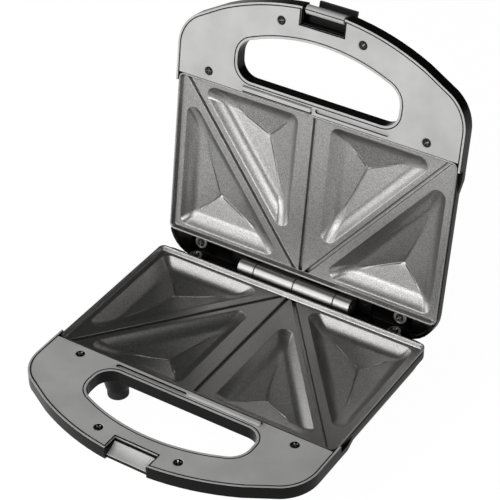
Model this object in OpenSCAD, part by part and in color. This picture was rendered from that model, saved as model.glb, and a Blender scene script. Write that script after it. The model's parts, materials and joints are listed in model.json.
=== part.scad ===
// Two-slice sandwich toaster: a base and a lid on a four-knuckle hinge, each with
// an electrically heated plate of four triangular pockets, a D-shaped carrying
// handle and, on the lid, a folding catch.
//
// Both halves are drawn in one "half" frame: the hinge axis is the X axis, the
// parting plane is z = 0, the handle points to -Y and the housing hangs below z = 0.
// on_base() stands a half on the counter; on_lid() mirrors it and swings it open.

/* [Plates] */
// Width of the flat land of a plate
plate_w = 216; // [196:1:236]
// Depth of the flat land, from hinge side to handle side
plate_d = 120.5; // [112:0.5:132]
// How far the land lies below the parting plane
land_drop = 3.6; // [3:0.1:5]
// Thickness of the plate casting at the land
plate_t = 3.6; // [3:0.1:4.5]
// Sideways run of the sloping wall between land and rim
rim_run = 1.2; // [0.8:0.1:2]
// Width of the rim's flat top
rim_w = 1.2; // [0.8:0.1:1.6]
// Depth of a pocket at its lowest point, below the land
pocket_deep = 9.5; // [8:0.5:11]
// Wall thickness of the casting under a pocket
pocket_t = 1.8; // [1.4:0.1:2.4]
// Land left outside the pockets along the two sides
side_land = 4.5; // [3.5:0.1:7]
// Land left outside the pockets at the hinge side and the handle side
end_land = 3.1; // [2.5:0.1:5]
// Half width of the land that runs down the middle
centre_land = 13.5; // [11:0.5:18]
// Width of the dividing grooves
groove_w = 2.7; // [2:0.1:3.5]
// Depth of the dividing grooves
groove_deep = 2.2; // [1.5:0.1:2.4]
// Distance from a slanting groove's middle to the pocket on its inner side
inner_gap = 5.5; // [4.5:0.1:7]
// Distance from a slanting groove's middle to the pocket on its outer side
outer_gap = 7.8; // [6:0.1:9]
// Corner radius of a pocket at the land
pocket_r = 6; // [4:0.5:8]

/* [Housings] */
// Wall thickness of the moulded housings
wall = 2.6; // [2.2:0.1:3.2]
// Depth of a housing, from the parting plane to its flat outer face
bowl_deep = 36; // [34:1:44]
// Height of the upright band below the parting plane
band_h = 8.2; // [7.5:0.1:9]
// Ledge of the housing left outside the plate's rim
ledge_w = 0.5; // [0.3:0.1:1]
// Inward step under the band
band_step = 1; // [0.6:0.1:1.6]
// Corner radius of the base's band beside the hinge
base_corner_r = 10; // [8:1:14]
// Corner radius of the lid beside the hinge
lid_corner_r = 24; // [20:1:26]
// Distance from hinge axis to the back of the lid
lid_back = 9; // [8.6:0.1:9.4]
// Distance from hinge axis forward to the back wall of the base
base_back = 1.8; // [1.7:0.1:2.4]
// Width of the open bay for the hinge in the base
bay_w = 184; // [178:1:188]

/* [Handles] */
// Distance from hinge axis to the front of the handles
handle_reach = 210.2; // [202:0.2:218]
// Radius of the handle's front edge
front_r = 181; // [170:1:190]
// Radius of the handle's two outer corners
handle_corner_r = 30; // [24:1:34]
// Thickness of one handle, from the parting plane
handle_h = 10; // [9.5:0.5:12]
// Moulded rim left visible outside the trim plate
handle_rim = 1.7; // [1.4:0.1:2.4]
// Shadow gap around the trim plate
trim_gap = 0.5; // [0.3:0.1:0.7]
// How far the handle stands proud of the housing's sides
handle_flare = 1.8; // [1.2:0.1:2.4]
// Half width of the finger hole
finger_hw = 63.4; // [58:0.2:66]
// Land between plate and finger hole
finger_bar = 12; // [11:0.2:14]
// Depth of the finger hole, front to back
finger_d = 41.5; // [36:0.5:43]
// Moulded collar round the finger hole
collar_w = 2; // [1.6:0.1:2.6]
// Height of the rib that closes into the opposite groove
steam_rib_h = 2.2; // [1.5:0.1:2.6]
// Width of that rib
steam_rib_w = 2.6; // [2:0.1:3]
// Half length of the ribbed bar
steam_rib_x = 59; // [50:1:62]

/* [Hinge] */
// Outer radius of the knuckles
knuckle_r = 6; // [5.5:0.1:6.2]
// Radius of the hinge pin
hinge_pin_r = 2; // [1.5:0.1:2.5]
// Half length of the whole hinge
hinge_x = 46.5; // [42:0.5:50]
// Distance from middle to the joint between inner and outer knuckles
knuckle_x = 33; // [30:0.5:36]
// Gap between neighbouring knuckles
knuckle_gap = 0.5; // [0.3:0.1:0.8]
// Thickness of the hinge leaves
leaf_t = 2; // [1.6:0.1:2.2]
// How far the lid is open in the pose that is drawn
lid_open = 99; // [0:1:100]

/* [Catch] */
// Width of the folding catch
catch_w = 29.5; // [26:0.5:30]
// Radius of the catch's pin
catch_pin_r = 1.5; // [1.2:0.1:1.8]
// Radius of the catch's barrel
catch_barrel_r = 3.2; // [2.9:0.1:3.4]
// Distance from parting plane to the catch's pin
catch_pin_h = 5; // [4.8:0.1:5.4]
// Thickness of the catch's arm and hook
catch_t = 2; // [1.6:0.1:2.2]
// Length of the hook
hook_len = 6.5; // [5.5:0.1:7]
// Half width of the notch that takes the catch
notch_hw = 16.2; // [16:0.1:18]
// Depth of that notch, measured back from the handle's front
notch_d = 13; // [12:0.5:14]
// How far the catch is folded back in the pose that is drawn
catch_open = 188; // [0:1:190]

/* [Feet] */
// Radius of a rubber foot
foot_r = 7.75; // [6:0.25:9]
// Height of a rubber foot
foot_h = 7; // [5:0.5:10]
// Half spacing of the feet, side to side
foot_x = 71; // [60:1:78]
// Distance from hinge axis to the rear feet
foot_rear = 21; // [20:1:30]
// Distance from hinge axis to the front feet
foot_front = 122; // [105:1:124]

/* [Heating] */
// Radius of the tubular heating elements
element_r = 3.25; // [2.5:0.25:3.5]
// Thickness of the sheet-steel heat shields
shield_t = 0.8; // [0.6:0.1:1]

/* [Fits] */
// Radial clearance of running fits
run_fit = 0.05; // [0.03:0.01:0.08]
// Side clearance between neighbouring mouldings
side_fit = 0.3; // [0.2:0.05:0.4]
// Radius of the small screws' shanks
screw_r = 1.5; // [1.2:0.1:1.6]
// Radius of the small screws' heads
screw_head_r = 3.3; // [3:0.1:3.4]

/* [Hidden] */

fn_fine = 96;    // large outlines
fn_round = 48;   // bosses, pins and screws
eps = 0.01;

// Colours
black_gloss = [0.06, 0.06, 0.07];
trim_grey = [0.62, 0.62, 0.61];
plate_grey = [0.34, 0.33, 0.33];
bright_steel = [0.80, 0.80, 0.80];
rubber_black = [0.09, 0.09, 0.09];

// Levels, measured down from the parting plane
rim_top = 0.3;                         // plate rim and trim faces
closing_gap = 0.15;                    // moulded rim of the handles
seat_z = 2.6;                          // where rim and trim are seated
land_under = land_drop + plate_t;
pocket_under = land_drop + pocket_deep + pocket_t;
element_z = pocket_under + 0.15 + element_r;
shield_z = element_z + element_r + 0.05;   // upper face of the heat shield
foot_face = bowl_deep + 1;             // underside of the base's legs
stand_h = foot_face + foot_h;          // counter to parting plane

// Plan positions, in distance forward from the hinge axis
land_rear = 11;
land_front = land_rear + plate_d;
rim_rear = land_rear - rim_run - rim_w;
rim_front = land_front + rim_run + rim_w;
trim_rear = rim_front + trim_gap;
handle_rear = land_front - 4;
half_w = plate_w / 2 + rim_run + rim_w + ledge_w;   // housing beside the plate
handle_hw = half_w + handle_flare;                  // handle beside the plate
front_cy = handle_reach - front_r;                  // centre of the front arc
finger_rear = land_front + finger_bar;
finger_front = finger_rear + finger_d;
finger_r = 139.7;                                   // front edge of the finger hole
catch_y = handle_reach - catch_barrel_r - 0.3;      // catch pin
lip_front = catch_y + catch_barrel_r - catch_t - 0.4;   // front of the base's catch lip
steam_y = trim_rear + 3.7;                          // middle of the steam ribs
trim_screws = [[86, land_front + 10], [31.5, handle_reach - 15.2]];
base_strip = 3.3;                                   // base band behind the plate's rim

// Plates
rim_r = 3;
corner_steps = 5;
slant_x = 4.5;                                      // slanting groove at the hinge side
slant_a = atan2(plate_w / 2 - side_land - slant_x, plate_d);
slant_c = slant_x * cos(slant_a) - land_rear * sin(slant_a);
inner_pocket = [[180, -centre_land], [270, land_front - end_land],
                [360 + slant_a, slant_c - inner_gap]];
outer_pocket = [[0, plate_w / 2 - side_land], [90, -land_rear - end_land],
                [180 + slant_a, -slant_c - outer_gap]];
wall_run = 8;                                       // sideways run of a pocket's wall
floor_fall = 2.6;                                   // fall of its floor towards the apex
wall_steps = [0, 0.5, 1.2, 2.2, 3.4, 4.8, 6.3, wall_run];
lug_x = 83;
lug_y = 5.2;
lug_r = 5;
lug_z = 1.5;
lug_t = 2;
post_x = plate_w / 2 - 39;
shield_posts = [[0, 24], [0, plate_d - 41.5], [post_x, plate_d - 42.5], [-post_x, plate_d - 42.5]];
post_r = 4;
post_hole = 9;

// Housings
shoulder_r = 12;
shoulder_a = 50;
shoulder_h = shoulder_r * sin(shoulder_a);
flank_r = (bowl_deep - band_h - shoulder_h) / (1 - sin(shoulder_a));
bowl_angles = [0, 15, 30, 40, shoulder_a, 56, 62, 68, 74, 80, 85, 90];
corner_share = 0.93;
bar_h = 9.5;                                        // bar behind the finger hole
front_slope = 1.353;
heel_r = 14;
skirt_h = 3;
skirt_run = 24;
bay_front = rim_rear + 0.1;
boss_r = 3.4;
boss_end = 17;
bay_screw_end = 15;
feet = [[-foot_x, foot_rear, 28, 10], [foot_x, foot_rear, 28, 10],
        [-foot_x, foot_front, 16, 13], [foot_x, foot_front, 16, 13]];
plug_r = 2.5;
plug_h = 5;
gland_x = 70;
gland_z = 20;
gland_r = 5.5;
flange_t = 1.5;
lamp_x = 9;
lamp_y = land_front - 45.5;
lamp_r = 4.5;
dome_h = 0.8;
dome_r = (pow(lamp_r, 2) + pow(dome_h, 2)) / (2 * dome_h);

// Catch
notch_ledge = 1.5;
lip_t = 3;
scoop_r = 14;
catch_pin_x = notch_hw + 4;

// Hinge
leaf_x = hinge_x + 12;
leaf_front = bay_front - side_fit;
leaf_screw_x = hinge_x + 6;
web_front = 4.5;
web_back = 2.2;

// Screws
trim_screw_len = 8;
screw_head_h = 1.6;
pan_r = 3;
pan_h = 1.1;

// Heating
element_x = plate_w / 2 - 50;
element_bend = 30.8;
element_mid = land_rear + 58.8;
end_x = 18;
end_bend = 6;
end_len = 4;
shield_hw = plate_w / 2 - 22;
shield_rear = 20;
shield_front = land_front - 26.5;
fuse_r = 2;
block_w = 34;
block_d = 14;
block_h = 9;
block_y = land_rear + 18;

// Rear end of the open lid or of the folded catch, and the shift that centres the part
function open_y(d, h) = h * sin(lid_open) - d * cos(lid_open);
hook_end = catch_pin_h + handle_h + side_fit + catch_t;
hook_tip = hook_len - catch_barrel_r;
rear_reach = max(concat(
    [for (a = bowl_angles) open_y(bowl_front(bowl_z(a)), bowl_z(a))],
    [for (y = [-catch_barrel_r, hook_tip])
        open_y(catch_y - y * cos(catch_open) + hook_end * sin(catch_open),
               catch_pin_h - y * sin(catch_open) - hook_end * cos(catch_open))]));
front_reach = front_cy + sqrt(pow(front_r, 2) - pow(notch_hw, 2));
origin_y = (front_reach - rear_reach) / 2;

// ---------------------------------------------------------------- placing
module on_base() { translate([0, origin_y, stand_h]) children(); }
module on_lid() {
    translate([0, origin_y, stand_h]) rotate([-lid_open, 0, 0]) mirror([0, 0, 1]) children();
}
module down(z) { translate([0, 0, -z]) children(); }
module both_sides() { children(); mirror([1, 0, 0]) children(); }
module spot(p) { translate([p[0], -p[1], 0]) children(); }
module slab(z0, z1) { down(z1) linear_extrude(z1 - z0) children(); }
// A profile in (y, z), drawn out along X
module along_x(x0, x1) {
    translate([x0, 0, 0]) rotate([90, 0, 90]) linear_extrude(x1 - x0) children();
}
// A post or a hole that runs from depth z0 down to depth z1
module post(z0, z1, r) { down(z1) cylinder(h = z1 - z0, r = r, $fn = fn_round); }

// ---------------------------------------------------------------- outlines
// Points of an arc about (cx, cy) from angle a0 to a1, both ends included
function sweep(cx, cy, r, a0, a1, n) =
    [for (i = [0:n]) let (a = a0 + (a1 - a0) * i / n) [cx + r * cos(a), cy + r * sin(a)]];
// Rounded D: straight back at y = -back, sides at x = +-hw, and a front arc of radius
// r about (0, -cy). rf and rb round the front and back corners.
module dee(hw, back, cy, r, rf, rb) {
    fy = cy + sqrt(pow(r - rf, 2) - pow(hw - rf, 2));
    turn = atan2(fy - cy, hw - rf);
    polygon(concat(
        rb > 0 ? sweep(hw - rb, -back - rb, rb, 90, 0, 8) : [[hw, -back]],
        sweep(hw - rf, -fy, rf, 0, -turn, 10),
        [for (p = sweep(0, -cy, r, -turn, turn - 180, 26)) if (abs(p[0]) < hw - rf - 1) p],
        sweep(rf - hw, -fy, rf, turn - 180, -180, 10),
        rb > 0 ? sweep(rb - hw, -back - rb, rb, 180, 90, 8) : [[-hw, -back]]));
}
module handle_outline(inset) {
    dee(handle_hw - inset, handle_rear, front_cy, front_r - inset,
        handle_corner_r - inset, 0);
}
module trim_outline(inset) {
    difference() {
        handle_outline(handle_rim + trim_gap + inset);
        translate([-plate_w, -trim_rear]) square([2 * plate_w, plate_d]);
    }
}
module finger_outline(grow) {
    dee(finger_hw + grow, finger_rear - grow, finger_front - finger_r,
        finger_r + grow, 15 + grow, 12 + grow);
}
module notch_outline(grow) {
    translate([-notch_hw - grow, -handle_reach - 5])
        square([2 * (notch_hw + grow), notch_d + 5 + grow]);
}
module round_rect(hw, front, back, r) {
    polygon(concat(sweep(hw - r, -back - r, r, 90, 0, 8), [[hw, -front], [-hw, -front]],
                   sweep(r - hw, -back - r, r, 180, 90, 8)));
}
module plate_rect(grow) {
    translate([-plate_w / 2 - grow, -land_front - grow])
        square([plate_w + 2 * grow, plate_d + 2 * grow]);
}
// One half of the bar's steam seal, to the left (side -1) or the right (side 1)
module steam_line(side, grow) {
    r = steam_rib_w / 2 + grow;
    x0 = steam_rib_w;
    x1 = steam_rib_x - steam_rib_w;
    translate([min(side * x0, side * x1), -steam_y - r]) square([x1 - x0, 2 * r]);
    for (x = [x0, x1]) translate([side * x, -steam_y]) circle(r, $fn = fn_round);
}

// ---------------------------------------------------------------- lofts
// Faces between m rings of n points each
function skin(n, m) =
    [for (k = [0:m - 2]) for (i = [0:n - 1]) let (j = (i + 1) % n)
        for (face = [[k * n + i, k * n + j, (k + 1) * n + j],
                     [k * n + i, (k + 1) * n + j, (k + 1) * n + i]]) face];
module loft(rings) {
    n = len(rings[0]);
    m = len(rings);
    polyhedron(points = [for (ring = rings) each ring],
               faces = concat([[for (i = [0:n - 1]) n - 1 - i]], skin(n, m),
                              [[for (i = [0:n - 1]) (m - 1) * n + i]]));
}
module loft_to_tip(rings, tip) {
    n = len(rings[0]);
    m = len(rings);
    polyhedron(points = concat([for (ring = rings) each ring], [tip]),
               faces = concat([[for (i = [0:n - 1]) n - 1 - i]], skin(n, m),
                              [for (i = [0:n - 1]) [(m - 1) * n + i, (m - 1) * n + (i + 1) % n,
                                                    m * n]]));
}
// Rounded rectangle at depth z, n steps to each corner
function arc(cx, cy, r, a0, n, z) =
    [for (i = [0:n]) [cx + r * cos(a0 + 90 * i / n), cy + r * sin(a0 + 90 * i / n), -z]];
function rect_ring(hw, front, back, rf, rb, z, n) = concat(
    arc(hw - rb, -back - rb, rb, 0, n, z),
    arc(-hw + rb, -back - rb, rb, 90, n, z),
    arc(-hw + rf, -front + rf, rf, 180, n, z),
    arc(hw - rf, -front + rf, rf, 270, n, z));

// ---------------------------------------------------------------- plates
// A side of a pocket is [angle of its outward normal, distance from the origin].
function meet(l, m, inset) = let (p = l[1] - inset, q = m[1] - inset, s = sin(m[0] - l[0]))
    [(p * sin(m[0]) - q * sin(l[0])) / s, (q * cos(l[0]) - p * cos(m[0])) / s];
function inradius(tri) =
    let (w = [sin(tri[2][0] - tri[1][0]), sin(tri[0][0] - tri[2][0]),
              sin(tri[1][0] - tri[0][0])])
    (w * [for (side = tri) side[1]]) / (w[0] + w[1] + w[2]);
function pocket_ring(tri, inset, r, z) =
    [for (k = [0:2], i = [0:corner_steps])
        let (l = tri[k], m = tri[(k + 1) % 3], c = meet(l, m, inset + r),
             a = l[0] + (m[0] - l[0] + 720) % 360 * i / corner_steps)
        [c[0] + r * cos(a), c[1] + r * sin(a), -z]];
function wall_depth(s) = (pocket_deep - floor_fall) * pow(sin(90 * s / wall_run), 1.1);
function corner_at(s) = max(0.6, pocket_r - 0.7 * s);
function apex(tri, z) = concat(meet(tri[0], tri[1], inradius(tri)), [-z]);
// Sandwich pocket: walls that curve in, then three nearly flat faces to the apex
module pocket(tri) {
    rings = [for (s = wall_steps)
        pocket_ring(tri, s, corner_at(s), land_drop + wall_depth(s))];
    loft_to_tip(concat([pocket_ring(tri, 0, pocket_r, land_drop - 1)], rings),
                apex(tri, land_drop + pocket_deep));
}
module pocket_back(tri) {
    first = 2;
    rings = [for (s = [first, 3.5, 5, 6.5, wall_run])
        pocket_ring(tri, s - pocket_t, corner_at(s) + pocket_t / 2,
                    land_drop + wall_depth(s) + pocket_t)];
    loft_to_tip(concat([pocket_ring(tri, first - pocket_t, corner_at(first) + pocket_t / 2,
                                    land_under - 1.5)], rings),
                apex(tri, pocket_under));
}
module each_pocket() {
    both_sides() {
        children(0);
        children(1);
    }
}
// Middle groove and the two slanting ones, from rim to rim
module groove_lines() {
    intersection() {
        union() {
            translate([-groove_w / 2, -land_front]) square([groove_w, plate_d]);
            both_sides() translate([slant_x, -land_rear]) rotate(slant_a)
                translate([-groove_w / 2, -2 * plate_d]) square([groove_w, 3 * plate_d]);
        }
        plate_rect(0);
    }
}
module plate() {
    difference() {
        union() {
            slab(rim_top, seat_z) plate_rect(rim_run + rim_w);
            slab(seat_z - 1, land_under) plate_rect(rim_run);
            each_pocket() {
                pocket_back(inner_pocket);
                pocket_back(outer_pocket);
            }
            both_sides() spot([lug_x, lug_y]) post(lug_z, lug_z + lug_t, lug_r);
            for (p = shield_posts) spot([p[0], land_rear + p[1]])
                post(land_under - 1, shield_z, post_r);
        }
        loft([rect_ring(plate_w / 2 + rim_run, land_front + rim_run, land_rear - rim_run,
                        rim_r, rim_r, rim_top - eps, corner_steps),
              rect_ring(plate_w / 2, land_front, land_rear,
                        rim_r - rim_run, rim_r - rim_run, land_drop, corner_steps)]);
        each_pocket() {
            pocket(inner_pocket);
            pocket(outer_pocket);
        }
        slab(-1, land_drop + groove_deep) groove_lines();
        both_sides() spot([lug_x, lug_y]) post(0, land_under, screw_r + side_fit);
        for (p = shield_posts) spot([p[0], land_rear + p[1]])
            post(shield_z - post_hole, shield_z + 1, screw_r + run_fit);
    }
}

// ---------------------------------------------------------------- housings
// Side wall at an angle a of its profile: a step, a tight shoulder and a long curve
function bowl_inset(a) = band_step + (a < shoulder_a
    ? shoulder_r * (1 - cos(a))
    : shoulder_r * (1 - cos(shoulder_a)) + flank_r * (cos(shoulder_a) - cos(a)));
function bowl_z(a) = band_h + (a < shoulder_a
    ? shoulder_r * sin(a)
    : shoulder_h + flank_r * (sin(a) - sin(shoulder_a)));
// The handle side slopes away, so that fingers clear the housing
function bowl_front(z) = finger_rear - bar_h - front_slope * max(0, z - handle_h);
// The hinge side stays upright and turns under a radius
function bowl_heel(z) = z < bowl_deep - heel_r ? 0
    : heel_r - sqrt(max(0, pow(heel_r, 2) - pow(z - bowl_deep + heel_r, 2)));
// back is where the wall beside the hinge stands; t draws the inside, one wall smaller
module bowl(back, rb, t) {
    loft([for (a = bowl_angles) let (z = bowl_z(a), d = bowl_inset(a))
        rect_ring(half_w - d - t, bowl_front(z) - t, back + bowl_heel(z) + t,
                  min(10 + d, corner_share * (half_w - d)) - t / 2, max(rb, 6 + d / 2) - t / 2, z - t, 7)]);
}
// band_back and back are the distances forward to the band's and the bowl's back wall,
// bay_back the same for the end of the hinge's bay
module housing(back, band_back, rb, bay_back) {
    difference() {
        union() {
            slab(seat_z, band_h + 0.5) round_rect(half_w, land_front, band_back, rb);
            bowl(back, max(rb, 20), 0);
            slab(closing_gap, handle_h) handle_outline(0);
            slab(band_h - skirt_h, handle_h) skirt();
        }
        difference() {
            bowl(back, max(rb, 20), wall);
            slab(-1, band_h + wall) bay_outline(wall, -lid_back - 5);
            bay_bosses(boss_end);
        }
        slab(seat_z - 1, land_under + side_fit) plate_rect(rim_run + side_fit);
        slab(-1, band_h) bay_outline(0, bay_back);
        slab(-1, seat_z) trim_outline(-trim_gap);
        slab(-1, seat_z) translate([-handle_hw + handle_rim, -trim_rear - 1])
            square([2 * (handle_hw - handle_rim), plate_d]);
        slab(-1, bowl_deep) finger_outline(0);
        for (p = trim_screws) both_sides() spot(p) post(0, trim_screw_len + 1, screw_r + run_fit);
        for (x = [leaf_screw_x, lug_x]) both_sides() spot([x, lug_y])
            post(0, bay_screw_end, screw_r + run_fit);
    }
    both_sides() spot([lug_x, lug_y]) difference() {
        post(lug_z + lug_t, band_h + 1, boss_r);
        post(0, band_h + 2, screw_r + run_fit);
    }
    difference() {
        slab(rim_top, seat_z + 0.5) finger_outline(collar_w);
        slab(-1, bowl_deep) finger_outline(0);
    }
}
module bay_outline(grow, back) {
    translate([-bay_w / 2 - grow, -bay_front - grow])
        square([bay_w + 2 * grow, bay_front + grow - back]);
}
module bay_bosses(end) {
    for (x = [leaf_screw_x, lug_x]) both_sides() spot([x, lug_y]) post(band_h, end, boss_r);
}
// Lower edge of the handle that runs back along the housing's sides
module skirt() {
    both_sides() polygon([[half_w - 12, -land_front - 2], [handle_hw, -land_front - 2],
        [handle_hw, -land_front + 12], [half_w - 0.5, -land_front + skirt_run],
        [half_w - 12, -land_front + skirt_run]]);
}
// Finger scoop in the base's handle; its front edge is the lip that the catch holds
module catch_scoop() {
    intersection() {
        slab(-1, handle_h) notch_outline(0);
        along_x(-notch_hw, notch_hw) translate([-lip_front - 1, scoop_r - handle_h + lip_t])
            circle(scoop_r, $fn = fn_fine);
    }
    slab(-1, handle_h + 1) translate([-notch_hw, -handle_reach - 5])
        square([2 * notch_hw, handle_reach + 5 - lip_front]);
}
// Slot in the lid's handle for the folded catch
module catch_slot() {
    slab(-1, handle_h - 2.5) notch_outline(0);
    slab(-1, handle_h + 1) intersection() {
        notch_outline(0);
        translate([-notch_hw, -handle_reach - 5]) square([2 * notch_hw, notch_d + 2]);
    }
    along_x(-catch_pin_x - run_fit, catch_pin_x + run_fit)
        translate([-catch_y, -catch_pin_h]) circle(catch_pin_r + run_fit, $fn = fn_round);
}
module trim(rib_side) {
    difference() {
        union() {
            slab(rim_top, seat_z) difference() {
                trim_outline(0);
                finger_outline(collar_w + trim_gap);
                notch_outline(notch_ledge);
            }
            slab(rim_top - steam_rib_h, seat_z - 0.5) steam_line(rib_side, 0);
        }
        slab(-1, steam_rib_h - rim_top + side_fit) steam_line(-rib_side, side_fit);
        for (p = trim_screws) both_sides() spot(p) {
            post(0, seat_z + 1, screw_r + side_fit);
            flat_head(rim_top - eps, side_fit);
        }
    }
}

// ---------------------------------------------------------------- screws
module flat_head(top, grow) {
    down(top + screw_head_h + grow)
        cylinder(h = screw_head_h + grow, r1 = screw_r + grow, r2 = screw_head_r + grow,
                 $fn = fn_round);
}
module flat_screw(top, len) {
    flat_head(top, 0);
    post(top + screw_head_h - 0.2, top + len, screw_r);
}
// Screw whose head lies on a face at depth top
module pan_screw(top, len) {
    post(top - pan_h, top, pan_r);
    post(top - 0.2, top + len, screw_r);
}

// ---------------------------------------------------------------- hinge
module leaf(spans, back) {
    difference() {
        union() {
            slab(band_h - leaf_t, band_h)
                translate([-leaf_x, -leaf_front]) square([2 * leaf_x, leaf_front - back]);
            for (s = spans) {
                x0 = s[0] + knuckle_gap / 2;
                x1 = s[1] - knuckle_gap / 2;
                along_x(x0, x1) circle(knuckle_r, $fn = fn_fine);
                along_x(x0, x1) translate([-web_front, -band_h + leaf_t / 2])
                    square([web_front - web_back, band_h / 2]);
            }
        }
        along_x(-hinge_x - 1, hinge_x + 1) circle(hinge_pin_r + run_fit, $fn = fn_round);
        both_sides() spot([leaf_screw_x, lug_y]) {
            post(0, band_h + 1, screw_r + run_fit);
            flat_head(band_h - leaf_t - eps, run_fit);
        }
    }
}

// ---------------------------------------------------------------- catch
module clip() {
    front = -catch_y - catch_barrel_r;
    inner = handle_h + side_fit;
    translate([0, -catch_y, -catch_pin_h]) rotate([catch_open, 0, 0])
        translate([0, catch_y, catch_pin_h])
            along_x(-catch_w / 2, catch_w / 2) difference() {
                union() {
                    translate([-catch_y, -catch_pin_h]) circle(catch_barrel_r, $fn = fn_fine);
                    translate([front, -catch_pin_h])
                        square([catch_t, catch_pin_h + inner + catch_t]);
                    translate([front, inner]) square([hook_len, catch_t]);
                }
                translate([-catch_y, -catch_pin_h])
                    circle(catch_pin_r + run_fit, $fn = fn_round);
            }
}

// ---------------------------------------------------------------- heating
// Racetrack tube with a gap in its rear leg, where both ends turn down
module element() {
    down(element_z) {
        both_sides() {
            translate([element_x, -element_mid, 0]) rotate([0, 0, -90])
                rotate_extrude(angle = 180, $fn = fn_fine) translate([element_bend, 0])
                    circle(element_r, $fn = fn_round);
            translate([0, -element_mid - element_bend, 0]) rotate([0, 90, 0])
                cylinder(h = element_x, r = element_r, $fn = fn_round);
            translate([end_x, -element_mid + element_bend, 0]) rotate([0, 90, 0])
                cylinder(h = element_x - end_x, r = element_r, $fn = fn_round);
            translate([end_x, -element_mid + element_bend, -end_bend]) rotate([90, 0, 0])
                rotate([0, 0, 90]) rotate_extrude(angle = 90, $fn = fn_round)
                    translate([end_bend, 0]) circle(element_r, $fn = fn_round);
            translate([end_x - end_bend, -element_mid + element_bend, -end_bend - end_len])
                cylinder(h = end_len, r = element_r, $fn = fn_round);
        }
    }
}
module heat_shield() {
    difference() {
        slab(shield_z, shield_z + shield_t)
            translate([-shield_hw, -shield_front]) square([2 * shield_hw, shield_front - shield_rear]);
        for (p = shield_posts) spot([p[0], land_rear + p[1]])
            post(shield_z - 1, shield_z + 2, screw_r + side_fit);
        both_sides() spot([end_x - end_bend, element_mid - element_bend])
            post(shield_z - 1, shield_z + 2, element_r + 1);
    }
}
module shield_screws() {
    for (p = shield_posts) spot([p[0], land_rear + p[1]]) {
        post(shield_z + shield_t, shield_z + shield_t + pan_h, pan_r);
        post(shield_z - post_hole + 2, shield_z + shield_t + 0.2, screw_r);
    }
}

// ---------------------------------------------------------------- nodes, base
module base_housing() {
    color(black_gloss) on_base() difference() {
        union() {
            housing(base_back, rim_rear - base_strip, base_corner_r, -lid_back - 5);
            for (f = feet) spot(f) down(foot_face)
                cylinder(h = foot_face - f[2], r1 = foot_r + 0.75, r2 = f[3], $fn = fn_fine);
        }
        catch_scoop();
        for (f = feet) spot(f) post(foot_face - plug_h - 1, foot_face + 1, plug_r + run_fit);
        translate([-gland_x, -base_back - wall - 4, -gland_z]) rotate([-90, 0, 0])
            cylinder(h = wall + 5, r = gland_r + run_fit, $fn = fn_round);
    }
}
module base_handle_trim() { color(trim_grey) on_base() trim(1); }
module base_trim_screws() {
    color(black_gloss) on_base() for (p = trim_screws) both_sides() spot(p)
        flat_screw(rim_top, trim_screw_len);
}
module base_plate() { color(plate_grey) on_base() plate(); }
module base_plate_screws() {
    color(black_gloss) on_base() both_sides() spot([lug_x, lug_y])
        pan_screw(lug_z, bay_screw_end - lug_z - 1);
}
module base_heating_element() { color(bright_steel) on_base() element(); }
module base_heat_shield() { color(bright_steel) on_base() heat_shield(); }
module base_shield_screws() { color(bright_steel) on_base() shield_screws(); }
// Snap-disc thermostat with two blades, under the middle land
module thermostat() {
    color(rubber_black) on_base() spot([0, land_rear + 60]) {
        post(land_under, land_under + 9, 7);
        for (x = [-3, 3]) translate([x, 0, 0])
            slab(land_under + 8, land_under + 14) square([0.8, 6], center = true);
    }
}
module thermal_fuse() {
    color(trim_grey) on_base() translate([0, -land_rear - 44, -land_under - fuse_r - 0.05])
        rotate([0, 90, 0]) {
            cylinder(h = 12, r = fuse_r, center = true, $fn = fn_round);
            cylinder(h = 20, r = 0.5, center = true, $fn = fn_round);
        }
}
module terminal_block() {
    floor_z = bowl_deep - wall;
    color(trim_grey) on_base() spot([0, block_y]) difference() {
        slab(floor_z - block_h, floor_z) square([block_w, block_d], center = true);
        for (x = [-block_w / 2 + 6, 0, block_w / 2 - 6]) translate([x, 0, 0])
            post(floor_z - block_h - 1, floor_z - 3, 2.5);
    }
}
module cord_gland() {
    color(rubber_black) on_base() translate([-gland_x, 0, -gland_z]) rotate([90, 0, 0])
        difference() {
            union() {
                translate([0, 0, base_back - flange_t])
                    cylinder(h = flange_t, r = gland_r + 1.5, $fn = fn_round);
                translate([0, 0, base_back - 0.2]) cylinder(h = wall + 3, r = gland_r, $fn = fn_round);
            }
            translate([0, 0, -5]) cylinder(h = 20, r = gland_r - 2, $fn = fn_round);
        }
}
module foot(f) {
    color(rubber_black) on_base() spot(f) {
        down(stand_h) cylinder(h = foot_h - 1.5, r = foot_r, $fn = fn_fine);
        down(foot_face + 1.5) cylinder(h = 1.5, r1 = foot_r, r2 = foot_r - 0.6, $fn = fn_fine);
        post(foot_face - plug_h, foot_face + 0.5, plug_r);
    }
}
module foot_rear_left() { foot(feet[0]); }
module foot_rear_right() { foot(feet[1]); }
module foot_front_left() { foot(feet[2]); }
module foot_front_right() { foot(feet[3]); }
module hinge_base_leaf() {
    color(bright_steel) on_base() leaf([[-hinge_x, -knuckle_x], [0, knuckle_x]], 2);
}
module hinge_base_screws() {
    color(bright_steel) on_base() both_sides() spot([leaf_screw_x, lug_y])
        flat_screw(band_h - leaf_t, bay_screw_end - band_h);
}
module hinge_pin() {
    color(bright_steel) on_base() along_x(-hinge_x, hinge_x) circle(hinge_pin_r, $fn = fn_round);
}

// ---------------------------------------------------------------- nodes, lid
module lid_housing() {
    color(black_gloss) on_lid() difference() {
        union() {
            housing(-lid_back, -lid_back, lid_corner_r, wall - lid_back);
            back_lip();
        }
        catch_slot();
        both_sides() spot([lamp_x, lamp_y])
            post(bowl_deep - wall - 1, bowl_deep + 1, lamp_r + run_fit);
    }
}
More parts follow.
